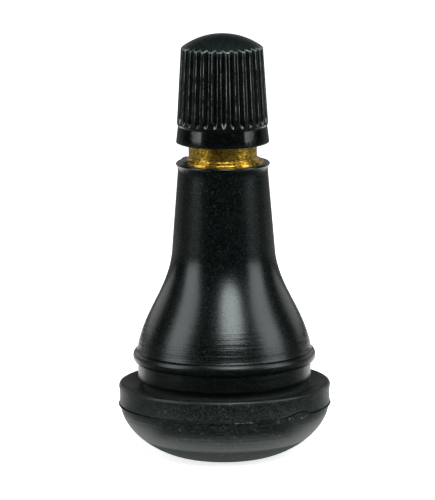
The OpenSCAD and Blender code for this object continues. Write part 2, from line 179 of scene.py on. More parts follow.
# Presses a right-handed thread into a round surface, towards the axis
def pressedThread(tree, geometry, given):
    x, y, z = addNode(tree, "ShaderNodeSeparateXYZ", {0: addNode(tree, "GeometryNodeInputPosition")}).outputs
    angle = addNode(tree, "ShaderNodeMath", {0: y, 1: x}, operation="ARCTAN2")
    turn = addNode(tree, "ShaderNodeMath", {0: angle, 1: 2 * math.pi}, operation="DIVIDE")
    rise = addNode(tree, "ShaderNodeMath", {0: z, 1: given["Pitch"]}, operation="DIVIDE")
    phase = addNode(tree, "ShaderNodeMath", {0: rise, 1: turn}, operation="SUBTRACT")
    phase = addNode(tree, "ShaderNodeMath", {0: phase}, operation="FRACT")
    wave = addNode(tree, "ShaderNodeMath", {0: phase, 1: 2.0}, operation="MULTIPLY")
    wave = addNode(tree, "ShaderNodeMath", {0: wave, 1: 1.0}, operation="SUBTRACT")
    wave = addNode(tree, "ShaderNodeMath", {0: wave}, operation="ABSOLUTE")
    root = addNode(tree, "ShaderNodeMath", {0: 1.0, 1: given["Root"]}, operation="SUBTRACT")
    shape = addNode(tree, "ShaderNodeMapRange", {
        "Value": wave, "From Min": given["Crest"], "From Max": root, "To Min": 0.0, "To Max": given["Depth"],
    }, interpolation_type="SMOOTHSTEP")
    share = addNode(tree, "GeometryNodeInputNamedAttribute", {"Name": "threadShare"}, data_type="FLOAT")
    depth = addNode(tree, "ShaderNodeMath", {0: shape, 1: share}, operation="MULTIPLY")
    inward = addNode(tree, "ShaderNodeMath", {0: depth, 1: -1.0}, operation="MULTIPLY")
    flat = addNode(tree, "ShaderNodeCombineXYZ", {"X": x, "Y": y, "Z": 0.0})
    way = addNode(tree, "ShaderNodeVectorMath", {0: flat}, operation="NORMALIZE")
    move = addNode(tree, "ShaderNodeVectorMath", {0: way, "Scale": inward}, operation="SCALE")
    return addNode(tree, "GeometryNodeSetPosition", {"Geometry": geometry, "Offset": move})


# Shares of half a pitch that the thread's crest and root keep flat
threadShape = {"Crest": 0.12, "Root": 0.14}

threadInputs = [("Pitch", "Float"), ("Depth", "Float"), ("Crest", "Float"), ("Root", "Float"),
                ("Material", "Material")]
threadTree, given = newShapeTree("threadCutting", threadInputs)
endShapeTree(threadTree, pressedThread(threadTree, given["Geometry"], given), given["Material"])

# One rib and its two half flutes, repeated round the cap before the thread is pressed in
ribTree, given = newShapeTree("capRibs", [("Ribs", "Int"), ("Weld", "Float")] + threadInputs)
spots = addNode(ribTree, "GeometryNodePoints", {"Count": given["Ribs"]})
step = addNode(ribTree, "ShaderNodeMath", {0: 2 * math.pi, 1: given["Ribs"]}, operation="DIVIDE")
index = addNode(ribTree, "GeometryNodeInputIndex")
spin = addNode(ribTree, "ShaderNodeMath", {0: index, 1: step}, operation="MULTIPLY")
spin = addNode(ribTree, "ShaderNodeCombineXYZ", {"Z": spin})
ring = addNode(ribTree, "GeometryNodeInstanceOnPoints", {
    "Points": spots, "Instance": given["Geometry"], "Rotation": spin})
ring = addNode(ribTree, "GeometryNodeRealizeInstances", {"Geometry": ring})
ring = addNode(ribTree, "GeometryNodeMergeByDistance", {"Geometry": ring, "Distance": given["Weld"]})
endShapeTree(ribTree, pressedThread(ribTree, ring, given), given["Material"])


# Materials. Sizes and places are in mm, and a grain is counted in cells per mm.

def colour(text):
    parts = [int(text[i:i + 2], 16) / 255 for i in (1, 3, 5)]
    return tuple([p / 12.92 if p < 0.04045 else ((p + 0.055) / 1.055) ** 2.4 for p in parts] + [1.0])


def newMaterial(name, shown):
    material = bpy.data.materials.new(name)
    material.use_nodes = True
    material.diffuse_color = colour(shown)
    tree = material.node_tree
    return material, tree, tree.nodes["Principled BSDF"]


# 1 between two values of a coordinate and 0 outside them, with a soft edge
def window(tree, value, low, high, soft):
    above = addNode(tree, "ShaderNodeMapRange", {
        "Value": value, "From Min": low * mm, "From Max": (low + soft) * mm})
    below = addNode(tree, "ShaderNodeMapRange", {
        "Value": value, "From Min": high * mm, "From Max": (high - soft) * mm})
    return addNode(tree, "ShaderNodeMath", {0: above, 1: below}, operation="MULTIPLY")


# Pale bits inside a window of the front, in the cells of a noise that are over a limit: torn rubber, with a
# painted highlight in the mould line's dash
def paleBits(tree, place, side, height, bits):
    inside = addNode(tree, "ShaderNodeMath", {
        0: window(tree, side, *bits["side"]), 1: window(tree, height, *bits["height"])}, operation="MULTIPLY")
    cells = addNode(tree, "ShaderNodeTexNoise", {
        "Vector": place, "Scale": bits["perMm"] / mm, "Detail": 2.0, "Roughness": 0.55})
    cells = addNode(tree, "ShaderNodeMapRange", {
        "Value": cells, "From Min": bits["limit"][0], "From Max": bits["limit"][1]})
    return addNode(tree, "ShaderNodeMath", {0: inside, 1: cells}, operation="MULTIPLY")


# Black EPDM-like moulded rubber: satin on the neck, dull and dusty on the bulb, with pale torn bits along the
# mould line, one dash of which on the front is partly torn flash and partly a painted highlight. Its fine grain
# is drawn about
# 0.2 mm coarse and the mould's tool rings near the bead about 0.3 mm coarse, so that they show.
def rubberMaterial():
    look = {
        "neck": "#000202", "neckGrain": "#07120f", "bulb": "#000606", "bulbGrain": "#19231f",
        "dust": "#4c5654", "tornAndGlint": "#59615f", "tint": "#f3ffff", "ior": 1.5, "specular": 0.4,
        "neckRough": 0.245, "beadRough": 0.3, "bulbRough": 0.46, "hollowRough": 0.4,
        "glintDash": {"side": (0.2, 3.4, 0.3), "height": (5.68, 5.81, 0.04), "perMm": 2.0, "limit": (0.45, 0.65)},
        "crumbs": {"side": (5.2, 9.2, 0.6), "height": (5.2, 5.9, 0.2), "perMm": 3.4, "limit": (0.6, 0.7)},
        "finePerMm": 5.2, "coarsePerMm": 1.5, "coarseShare": 0.25, "neckSparse": 1.8, "specksPerMm": 2.6,
        "wanderPerMm": 0.32, "wander": 1.6, "ringsPerMm": (0.07, 0.07, 3.6), "ringsH": 0.05, "grainH": 0.03,
        "satinZ": 8.8, "dullZ": 7.6, "neckZ": 14.5, "beadZ": 11.5, "plainZ": 17.5, "ringedZ": 12.5,
        "hollowR": 9.4, "hollowInR": 9.0, "hollowTopZ": 9.6, "hollowZ": 8.8,
    }
    material, tree, shader = newMaterial("blackMouldedRubber", look["neckGrain"])
    place = addNode(tree, "ShaderNodeTexCoord").outputs["Object"]
    side, depth, height = addNode(tree, "ShaderNodeSeparateXYZ", {0: place}).outputs
    # The crumbs near the fold are torn rubber; the dash is torn flash with a painted highlight on it. Both are
    # drawn on the front only
    tornAndGlint = addNode(tree, "ShaderNodeMath", {
        0: paleBits(tree, place, side, height, look["glintDash"]),
        1: paleBits(tree, place, side, height, look["crumbs"])}, operation="MAXIMUM")
    front = addNode(tree, "ShaderNodeMapRange", {"Value": depth, "From Min": 0.0, "From Max": -mm})
    tornAndGlint = addNode(tree, "ShaderNodeMath", {0: tornAndGlint, 1: front}, operation="MULTIPLY")

    # Where the satin neck turns into the dull bulb, on a line that wanders
    wander = addNode(tree, "ShaderNodeTexNoise", {
        "Vector": place, "Scale": look["wanderPerMm"] / mm, "Detail": 2.0, "Roughness": 0.55})
    wander = addNode(tree, "ShaderNodeMath", {0: wander, 1: 0.5}, operation="SUBTRACT")
    wander = addNode(tree, "ShaderNodeMath", {0: wander, 1: look["wander"] * mm}, operation="MULTIPLY")
    height = addNode(tree, "ShaderNodeMath", {0: height, 1: wander}, operation="ADD")
    dull = addNode(tree, "ShaderNodeMapRange", {
        "Value": height, "From Min": look["satinZ"] * mm, "From Max": look["dullZ"] * mm})

    fine = addNode(tree, "ShaderNodeTexNoise", {
        "Vector": place, "Scale": look["finePerMm"] / mm, "Detail": 4.0, "Roughness": 0.65})
    coarse = addNode(tree, "ShaderNodeTexNoise", {
        "Vector": place, "Scale": look["coarsePerMm"] / mm, "Detail": 3.0, "Roughness": 0.6})
    coarse = addNode(tree, "ShaderNodeMath", {0: coarse, 1: look["coarseShare"]}, operation="MULTIPLY")
    speckle = addNode(tree, "ShaderNodeMath", {0: fine, 1: coarse}, operation="ADD")
    speckle = addNode(tree, "ShaderNodeMapRange", {"Value": speckle, "From Min": 0.56, "From Max": 0.74})
    sparse = addNode(tree, "ShaderNodeMath", {0: speckle, 1: look["neckSparse"]}, operation="POWER")
    neck = addNode(tree, "ShaderNodeMix", {
        0: sparse, 6: colour(look["neck"]), 7: colour(look["neckGrain"])}, data_type="RGBA").outputs[2]
    bulb = addNode(tree, "ShaderNodeMix", {
        0: speckle, 6: colour(look["bulb"]), 7: colour(look["bulbGrain"])}, data_type="RGBA").outputs[2]
    base = addNode(tree, "ShaderNodeMix", {0: dull, 6: neck, 7: bulb}, data_type="RGBA").outputs[2]
    specks = addNode(tree, "ShaderNodeTexNoise", {
        "Vector": place, "Scale": look["specksPerMm"] / mm, "Detail": 2.0, "Roughness": 0.5})
    specks = addNode(tree, "ShaderNodeMapRange", {"Value": specks, "From Min": 0.66, "From Max": 0.76})
    dustShare = addNode(tree, "ShaderNodeMapRange", {"Value": dull, "To Min": 0.12, "To Max": 0.5})
    dusty = addNode(tree, "ShaderNodeMath", {0: specks, 1: dustShare}, operation="MULTIPLY")
    base = addNode(tree, "ShaderNodeMix", {
        0: dusty, 6: base, 7: colour(look["dust"])}, data_type="RGBA").outputs[2]
    # Pale torn bits, and the painted highlight of the dash
    base = addNode(tree, "ShaderNodeMix", {
        0: tornAndGlint, 6: base, 7: colour(look["tornAndGlint"])}, data_type="RGBA").outputs[2]

    # Roughness: the neck, the bead, the bulb, and the undercut, which the mould's core left dull
    rough = addNode(tree, "ShaderNodeMapRange", {
        "Value": height, "From Min": look["neckZ"] * mm, "From Max": look["beadZ"] * mm,
        "To Min": look["neckRough"], "To Max": look["beadRough"]})
    more = addNode(tree, "ShaderNodeMapRange", {
        "Value": dull, "To Max": look["bulbRough"] - look["beadRough"]})
    rough = addNode(tree, "ShaderNodeMath", {0: rough, 1: more}, operation="ADD")
    across = addNode(tree, "ShaderNodeVectorMath", {0: place, 1: (1, 1, 0)}, operation="MULTIPLY")
    across = addNode(tree, "ShaderNodeVectorMath", {0: across}, operation="LENGTH").outputs["Value"]
    within = addNode(tree, "ShaderNodeMapRange", {
        "Value": across, "From Min": look["hollowR"] * mm, "From Max": look["hollowInR"] * mm})
    under = addNode(tree, "ShaderNodeMapRange", {
        "Value": height, "From Min": look["hollowTopZ"] * mm, "From Max": look["hollowZ"] * mm})
    hollow = addNode(tree, "ShaderNodeMath", {0: within, 1: under}, operation="MULTIPLY")
    hollow = addNode(tree, "ShaderNodeMath", {0: hollow, 1: look["hollowRough"]}, operation="MULTIPLY")
    rough = addNode(tree, "ShaderNodeMath", {0: rough, 1: hollow}, operation="ADD")
    more = addNode(tree, "ShaderNodeMapRange", {
        "Value": fine, "From Min": 0.3, "From Max": 0.7, "To Min": -0.04, "To Max": 0.05})
    rough = addNode(tree, "ShaderNodeMath", {0: rough, 1: more}, operation="ADD")

    rings = addNode(tree, "ShaderNodeMapping", {
        "Vector": place, "Scale": [perMm / mm for perMm in look["ringsPerMm"]]})
    rings = addNode(tree, "ShaderNodeTexNoise", {
        "Vector": rings, "Scale": 1.0, "Detail": 3.0, "Roughness": 0.6})
    nearBead = addNode(tree, "ShaderNodeMapRange", {
        "Value": height, "From Min": look["plainZ"] * mm, "From Max": look["ringedZ"] * mm,
        "To Min": 0.12, "To Max": 0.9})
    normal = addNode(tree, "ShaderNodeBump", {
        "Height": rings, "Strength": nearBead, "Distance": look["ringsH"] * mm})
    strength = addNode(tree, "ShaderNodeMapRange", {"Value": dull, "To Min": 0.2, "To Max": 0.55})
    normal = addNode(tree, "ShaderNodeBump", {
        "Height": fine, "Strength": strength, "Distance": look["grainH"] * mm, "Normal": normal})
    setInputs(tree, shader, {
        "Base Color": base, "Roughness": rough, "Normal": normal, "IOR": look["ior"],
        "Specular IOR Level": look["specular"], "Specular Tint": colour(look["tint"])})
    return material


# Bright turned brass: lathe rings round it, drawn about 0.1 mm coarse so that they show, small dents
# and a mottled tarnish
def brassMaterial():
    look = {
        "bright": "#f2cb58", "dark": "#876a1e", "rough": 0.25, "tarnishPerMm": 2.6, "dentsPerMm": 1.3,
        "dentsH": 0.16, "ringsPerMm": (0.04, 0.04, 9.0), "ringsH": 0.02,
    }
    material, tree, shader = newMaterial("turnedBrass", look["bright"])
    place = addNode(tree, "ShaderNodeTexCoord").outputs["Object"]
    tarnish = addNode(tree, "ShaderNodeTexNoise", {
        "Vector": place, "Scale": look["tarnishPerMm"] / mm, "Detail": 5.0, "Roughness": 0.75})
    tarnish = addNode(tree, "ShaderNodeMapRange", {"Value": tarnish, "From Min": 0.38, "From Max": 0.62})
    base = addNode(tree, "ShaderNodeMix", {
        0: tarnish, 6: colour(look["bright"]), 7: colour(look["dark"])}, data_type="RGBA").outputs[2]
    rings = addNode(tree, "ShaderNodeMapping", {
        "Vector": place, "Scale": [perMm / mm for perMm in look["ringsPerMm"]]})
    rings = addNode(tree, "ShaderNodeTexNoise", {
        "Vector": rings, "Scale": 1.0, "Detail": 3.0, "Roughness": 0.6})
    rough = addNode(tree, "ShaderNodeMapRange", {
        "Value": rings, "From Min": 0.3, "From Max": 0.7,
        "To Min": look["rough"] - 0.05, "To Max": look["rough"] + 0.1})
    dents = addNode(tree, "ShaderNodeTexNoise", {
        "Vector": place, "Scale": look["dentsPerMm"] / mm, "Detail": 4.0, "Roughness": 0.65})
    normal = addNode(tree, "ShaderNodeBump", {
        "Height": dents, "Strength": 0.6, "Distance": look["dentsH"] * mm})
    normal = addNode(tree, "ShaderNodeBump", {
        "Height": rings, "Strength": 0.25, "Distance": look["ringsH"] * mm, "Normal": normal})
    setInputs(tree, shader, {"Base Color": base, "Metallic": 1.0, "Roughness": rough, "Normal": normal})
    return material


# Glossy moulded black plastic with faint flow marks: hazy and rubbed rougher on the crown, with a painted sheen
# there, and painted highlights in pale patches along the edges of its ribs and of its crown
def plasticMaterial():
    look = {
        "base": "#030404", "scuff": "#0c0f0f", "hazeAndSheen": "#1f2928", "worn": "#8a9290", "tint": "#f4ffff",
        "rough": 0.13, "crownRough": 0.34, "ior": 1.52, "specular": 0.6, "crownZ": 44.3, "hazyZ": 45.0,
        "cloudPerMm": 2.6, "hazeAndSheenPerMm": 5.2, "patchesPerMm": 0.7, "glintFade": 1.7,
        "skinPerMm": 2.4, "skinH": 0.02,
    }
    material, tree, shader = newMaterial("glossyBlackPlastic", look["base"])
    place = addNode(tree, "ShaderNodeTexCoord").outputs["Object"]
    height = addNode(tree, "ShaderNodeSeparateXYZ", {0: place}).outputs[2]
    cloud = addNode(tree, "ShaderNodeTexNoise", {
        "Vector": place, "Scale": look["cloudPerMm"] / mm, "Detail": 3.0, "Roughness": 0.6})
    scuffed = addNode(tree, "ShaderNodeMapRange", {"Value": cloud, "From Min": 0.5, "From Max": 0.75})
    base = addNode(tree, "ShaderNodeMix", {
        0: scuffed, 6: colour(look["base"]), 7: colour(look["scuff"])}, data_type="RGBA").outputs[2]
    # Painted sheen: a pale noisy colour lightens the crown in place of soft reflected light, over its rubbed
    # haze
    crown = addNode(tree, "ShaderNodeMapRange", {
        "Value": height, "From Min": look["crownZ"] * mm, "From Max": look["hazyZ"] * mm})
    hazeAndSheen = addNode(tree, "ShaderNodeTexNoise", {
        "Vector": place, "Scale": look["hazeAndSheenPerMm"] / mm, "Detail": 3.0, "Roughness": 0.7})
    hazeAndSheen = addNode(tree, "ShaderNodeMapRange", {"Value": hazeAndSheen, "From Min": 0.4, "From Max": 0.65})
    hazeAndSheen = addNode(tree, "ShaderNodeMath", {0: crown, 1: hazeAndSheen}, operation="MULTIPLY")
    base = addNode(tree, "ShaderNodeMix", {
        0: hazeAndSheen, 6: base, 7: colour(look["hazeAndSheen"])}, data_type="RGBA").outputs[2]
    # Painted highlight: pale patchy lines along the rib edges and the crown's rim stand in for glints
    edge = addNode(tree, "ShaderNodeAttribute", attribute_name="wornEdge").outputs["Fac"]
    edge = addNode(tree, "ShaderNodeMath", {0: edge, 1: look["glintFade"]}, operation="POWER")
    patches = addNode(tree, "ShaderNodeTexNoise", {
        "Vector": place, "Scale": look["patchesPerMm"] / mm, "Detail": 4.0, "Roughness": 0.8})
    patches = addNode(tree, "ShaderNodeMapRange", {
        "Value": patches, "From Min": 0.42, "From Max": 0.66, "To Min": 0.06, "To Max": 1.0})
    worn = addNode(tree, "ShaderNodeMath", {0: edge, 1: patches}, operation="MULTIPLY")
    base = addNode(tree, "ShaderNodeMix", {
        0: worn, 6: base, 7: colour(look["worn"])}, data_type="RGBA").outputs[2]
    rough = addNode(tree, "ShaderNodeMapRange", {
        "Value": cloud, "From Min": 0.3, "From Max": 0.75,
        "To Min": look["rough"] - 0.03, "To Max": look["rough"] + 0.08})
    rubbed = addNode(tree, "ShaderNodeMath", {
        0: crown, 1: look["crownRough"] - look["rough"]}, operation="MULTIPLY")
    rough = addNode(tree, "ShaderNodeMath", {0: rough, 1: rubbed}, operation="ADD")
    skin = addNode(tree, "ShaderNodeTexNoise", {
        "Vector": place, "Scale": look["skinPerMm"] / mm, "Detail": 3.0, "Roughness": 0.55})
    skin = addNode(tree, "ShaderNodeBump", {"Height": skin, "Strength": 0.12, "Distance": look["skinH"] * mm})
    setInputs(tree, shader, {
        "Base Color": base, "Roughness": rough, "Normal": skin, "IOR": look["ior"],
        "Specular IOR Level": look["specular"], "Specular Tint": colour(look["tint"])})
    return material


# Dark nitrile rubber of the washer and the core's seals: plain, matt and slightly brown
def sealMaterial():
    look = {
        "base": "#26211d", "worn": "#3a332d", "smooth": 0.5, "rough": 0.66, "finePerMm": 3.0, "grainH": 0.03}
    material, tree, shader = newMaterial("sealRubber", look["base"])
    place = addNode(tree, "ShaderNodeTexCoord").outputs["Object"]
    fine = addNode(tree, "ShaderNodeTexNoise", {
        "Vector": place, "Scale": look["finePerMm"] / mm, "Detail": 4.0, "Roughness": 0.65})
    worn = addNode(tree, "ShaderNodeMapRange", {"Value": fine, "From Min": 0.45, "From Max": 0.75})
    base = addNode(tree, "ShaderNodeMix", {
        0: worn, 6: colour(look["base"]), 7: colour(look["worn"])}, data_type="RGBA").outputs[2]
    rough = addNode(tree, "ShaderNodeMapRange", {
        "Value": fine, "From Min": 0.3, "From Max": 0.7, "To Min": look["smooth"], "To Max": look["rough"]})
    normal = addNode(tree, "ShaderNodeBump", {
        "Height": fine, "Strength": 0.3, "Distance": look["grainH"] * mm})
    setInputs(tree, shader, {"Base Color": base, "Roughness": rough, "Normal": normal})
    return material


# Drawn steel of the core's pin and spring: bright, with faint drawing marks
def steelMaterial():
    look = {
        "bright": "#c3c6c9", "dark": "#8f9397", "smooth": 0.22, "rough": 0.36, "marksPerMm": 2.2, "marksH": 0.02}
    material, tree, shader = newMaterial("drawnSteel", look["bright"])
    place = addNode(tree, "ShaderNodeTexCoord").outputs["Object"]
    marks = addNode(tree, "ShaderNodeTexNoise", {
        "Vector": place, "Scale": look["marksPerMm"] / mm, "Detail": 4.0, "Roughness": 0.6})
    dark = addNode(tree, "ShaderNodeMapRange", {"Value": marks, "From Min": 0.4, "From Max": 0.7})
    base = addNode(tree, "ShaderNodeMix", {
        0: dark, 6: colour(look["bright"]), 7: colour(look["dark"])}, data_type="RGBA").outputs[2]
    rough = addNode(tree, "ShaderNodeMapRange", {
        "Value": marks, "From Min": 0.3, "From Max": 0.7, "To Min": look["smooth"], "To Max": look["rough"]})
    normal = addNode(tree, "ShaderNodeBump", {
        "Height": marks, "Strength": 0.12, "Distance": look["marksH"] * mm})
    setInputs(tree, shader, {"Base Color": base, "Metallic": 1.0, "Roughness": rough, "Normal": normal})
    return material


rubber, brass, plastic = rubberMaterial(), brassMaterial(), plasticMaterial()
sealRubber, steel = sealMaterial(), steelMaterial()
print("materials made")


# Rubber body

rubberSizes = {
    "footR": 4.4, "airR": 2.6, "airEdge": 0.36,  # underside and air hole
    "bulbR": 11.36, "bulbH": 5.68, "bulbRound": 1.27, "bulbFlat": 1.11,  # dome up to the mould line
    "lineT": 0.16, "nickIn": 0.1, "nicks": 9,  # the mould line and the nicks in its flash
    "creaseIn": 0.14, "creaseStep": 0.05, "creaseOffAngle": 268, "creaseOffWidth": 34,
    "foldAngle": 317, "foldWidth": 9, "foldH": 0.6, "foldReach": 1.4, "foldCrease": 1.4,
    "buttonR": 11.53, "buttonZ": 8.11, "waistIn": 0.08, "edge": 0.44,  # side and top of the bulb
    "grooveR": 9.42, "dipH": 0.55, "undercutIn": 0.78, "hollowBend": 0.13, "hollowEnd": 0.28,
    "beadZ": 11.06, "beadH": 1.4, "beadOut": 0.53,  # snap bead
    "flareOut": 0.07, "flareTaper": 9.3, "flareBend": 0.393, "neckBend": 0.395,
    "flareTopZ": 22.71, "flareTopR": 5.597, "neckTaper": 4.6, "neckTopZ": 31.36, "neckTopR": 4.9,
    "lipR": 5.11, "lipZ": 32.31, "lipT": 0.22,
    "filmT": 0.12, "filmR": 4.57, "filmIn": 0.64, "filmFade": 0.16, "filmWander": 0.09,
    "flangeR": 4.45, "flangeT": 0.35, "ringR": 3.95, "shankR": 3.6,  # room for the stem
    "collarR": 4.7, "collarT": 1.2, "gap": 0.002, "filmGap": 0.01, "segments": 192,
}


# Radius of the mould line, with the small nicks that the torn flash leaves
def flashRadius(angle):
    s = rubberSizes
    nick = noise.noise(Vector((math.cos(angle) * s["nicks"], math.sin(angle) * s["nicks"], 3.1)))
    return bodyHigh.x - max(0.0, nick) * s["nickIn"]


# Radius at the bottom of the crease over the mould line, which fades out on the front and is
# deepest under the fold
def creaseRadius(angle):
    s = rubberSizes
    turn = math.degrees(angle) % 360
    front = math.exp(-((turn - s["creaseOffAngle"]) / s["creaseOffWidth"]) ** 4)
    fold = math.exp(-((turn - s["foldAngle"] + 2) / s["foldWidth"]) ** 2)
    return (s["buttonR"] - s["creaseStep"] - s["creaseIn"] * (1 - front)
            - s["creaseIn"] * s["foldCrease"] * fold)


# The mould line rises in a low fold on the right of the front, steeper towards the back, and the
# rubber near it follows
def withFold(rows, s):
    def lifted(z):
        near = max(0.0, 1 - abs(z - s["bulbH"]) / s["foldReach"])

        def height(angle):
            turn = math.degrees(angle) % 360 - s["foldAngle"]
            steep = s["foldWidth"] * (0.55 if turn > 0 else 1.0)
            return z + s["foldH"] * math.exp(-(turn / steep) ** 2) * near ** 1.5
        return height if near > 0 else z
    return [(row[0], lifted(row[1])) for row in rows]


# How much of the film over the flange is left at an angle, from 0 in the open to 1
def filmShare(angle):
    s = rubberSizes
    wander = noise.noise(Vector((math.cos(angle) * 3, math.sin(angle) * 3, 7.7))) * s["filmWander"]
    share = (s["filmIn"] + wander - s["flangeR"] * (1 + math.cos(angle))) / s["filmFade"]
    return min(1.0, max(0.0, share))


# Inner edge of the film, a straight line across the flange that stays clear of the stem's ring
def filmRadius(angle):
    s = rubberSizes
    wallR = s["flangeR"] + s["filmGap"]
    inner = max(s["ringR"] + 0.02, (s["flangeR"] - s["filmIn"]) / max(-math.cos(angle), 0.5))
    return wallR + (inner - wallR) * filmShare(angle)


def bulbRows(s):
    rows = []
    for step in range(31):
        angle = math.radians(90 - step * 3)
        rows.append((s["footR"] + (s["bulbR"] - s["footR"]) * math.cos(angle) ** s["bulbRound"],
                     s["bulbH"] * (1 - math.sin(angle) ** s["bulbFlat"])))
    lineZ = s["bulbH"] + s["lineT"]
    rows += [(flashRadius, s["bulbH"] + 0.02), (flashRadius, s["bulbH"] + 0.06)]
    rows += [(creaseRadius, s["bulbH"] + 0.08), (creaseRadius, lineZ - 0.02)]
    side = (s["buttonR"] - s["waistIn"] * 2, (lineZ + s["buttonZ"]) / 2)
    rows += rounded((s["buttonR"] - s["creaseStep"], lineZ + 0.04), side,
                    (s["buttonR"], s["buttonZ"] - s["edge"]), 12)
    rows += rounded((s["buttonR"], s["buttonZ"] - s["edge"]), (s["buttonR"], s["buttonZ"]),
                    (s["buttonR"] - s["edge"], s["buttonZ"]))[1:]
    return withFold(rows, s)


def grooveRows(s):
    deep = s["grooveR"] - s["undercutIn"]
    height = s["beadZ"] - s["beadH"] / 2 - s["buttonZ"]
    bend, start = s["buttonZ"] + height * s["hollowBend"], s["buttonZ"] + height * s["hollowEnd"]
    low = s["buttonZ"] - s["dipH"]
    rows = line((s["buttonR"] - s["edge"], s["buttonZ"]), (s["grooveR"] - s["undercutIn"] / 2, low), 5)[1:]
    rows += rounded(rows[-1], (deep - s["dipH"] / 4, low), (deep, s["buttonZ"] - s["dipH"] / 3))[1:]
    rows += swept(rows[-1], (deep, bend), (s["grooveR"], bend), (s["grooveR"], start), 10)[1:]
    return rows + line(rows[-1], (s["grooveR"], s["beadZ"] - s["beadH"] / 2 - 0.02), 3)[1:]


def upperRows(s):
    rows = []
    for step in range(16):
        angle = math.radians(-90 + step * 11)
        rows.append((s["grooveR"] + s["beadOut"] * math.cos(angle),
                     s["beadZ"] + s["beadH"] / 2 * math.sin(angle)))
    foot = (s["grooveR"] + s["flareOut"], s["beadZ"] + s["beadH"] / 2)
    height = s["flareTopZ"] - foot[1]
    first, last = height * s["flareBend"], height * s["neckBend"]
    rows += swept(foot, (foot[0] - first * math.tan(math.radians(s["flareTaper"])), foot[1] + first),
                  (s["flareTopR"] + last * math.tan(math.radians(s["neckTaper"])), s["flareTopZ"] - last),
                  (s["flareTopR"], s["flareTopZ"]), 48)[1:]
    rows += line((s["flareTopR"], s["flareTopZ"]), (s["neckTopR"], s["neckTopZ"]), 14)[1:]
    lip, edge = (s["lipR"], s["lipZ"] - s["lipT"]), (s["lipR"] - s["lipT"], s["lipZ"])
    rows += rounded(rows[-1], (s["neckTopR"], s["lipZ"] - s["lipT"] * 2), lip)[1:]
    rows += rounded(lip, (s["lipR"], s["lipZ"]), edge)[1:]
    return rows


# The film that laps over the left of the stem's flange, and the room for the stem down to the foot
def filmRows(s):
    filmZ = bodyHigh.z
    ringZ = filmZ - s["filmT"]
    flangeZ = ringZ - s["flangeT"] - s["gap"]
    collarR, collarZ = s["collarR"] + s["gap"], stemLow.z + s["collarT"] + s["gap"]
    wallR = s["flangeR"] + s["filmGap"]

    def partly(radius, z):
        return (lambda a: wallR + (radius - wallR) * filmShare(a),
                lambda a: s["lipZ"] + (z - s["lipZ"]) * filmShare(a))

    rows = [(wallR + 0.25, s["lipZ"])]
    full = rounded((s["filmR"] + 0.1, s["lipZ"]), (s["filmR"], s["lipZ"]), (s["filmR"], s["lipZ"] + 0.1), 4)
    full += rounded((s["filmR"], filmZ - s["filmT"]), (s["filmR"], filmZ),
                    (s["filmR"] - s["filmT"], filmZ), 5)
    rows += [partly(r, z) for r, z in full]
    for out, z in ((0.05, filmZ), (0.0, filmZ - 0.05), (0.0, ringZ + s["gap"])):
        rows.append((lambda a, out=out: filmRadius(a) + out * filmShare(a), partly(wallR, z)[1]))
    rows += [partly(wallR, ringZ + s["gap"]), (wallR, flangeZ),
             (s["shankR"], flangeZ), (s["shankR"], collarZ)]
    rows += [(collarR, collarZ), (collarR, stemLow.z), (s["airR"], stemLow.z), (s["airR"], s["airEdge"])]
    rows += rounded((s["airR"], s["airEdge"]), (s["airR"], 0.0), (s["airR"] + s["airEdge"], 0.0), 6)[1:]
    return rows


def makeRubberBody():
    s = rubberSizes
    rows = bulbRows(s) + grooveRows(s) + upperRows(s) + filmRows(s)
    piece = turned("mouldedBody", rows, s["segments"])
    weld(piece)
    piece.data.materials.append(rubber)
    shade(piece, 38)
    return piece


body = makeRubberBody()
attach(body, "valve_body")
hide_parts("rubber_body")
print("rubber body made")


# Brass stem

stemSizes = {
    "collarR": 4.7, "collarT": 1.2, "shankR": 3.6, "keys": 4, "keyW": 0.9, "keyIn": 0.4,  # in the rubber
    "flangeR": 4.45, "flangeZ": 32.16, "flangeT": 0.35, "flangeEdge": 0.1,
    "ringR": 3.95, "ringH": 0.25, "landR": 3.71, "landH": 2.25, "ringEdge": 0.06,
    "threadR": 3.85, "capPitch": 25.4 / 32, "capDepth": 0.43, "capFade": 0.45,  # 8V1 outside
    "chamberR": 2.64, "corePitch": 25.4 / 36, "coreDepth": 0.3, "coreFade": 0.35, "chamberThreadZ": 37.5,
    "boreR": 1.95, "seatZ": 33.4, "seatTopZ": 35.0, "segments": 160, "rowsPerTurn": 12,
}


# Rows of a threaded length, upward or downward, whose thread fades in at both ends. An outside
# thread starts from its core, which is lowIn and highIn smaller there.
def threadRows(radius, low, high, pitch, perTurn, fade, lowIn=0.0, highIn=0.0):
    count = max(4, int(abs(high - low) / pitch * perTurn))
    bottom, top = min(low, high), max(low, high)
    rows = []
    for i in range(count + 1):
        z = low + (high - low) * i / count
        share = max(0.0, min(1.0, (z - bottom) / fade, (top - z) / fade))
        smaller = (lowIn if z < (low + high) / 2 else highIn) * (1 - share)
        rows.append((radius - smaller, z, share))
    return rows


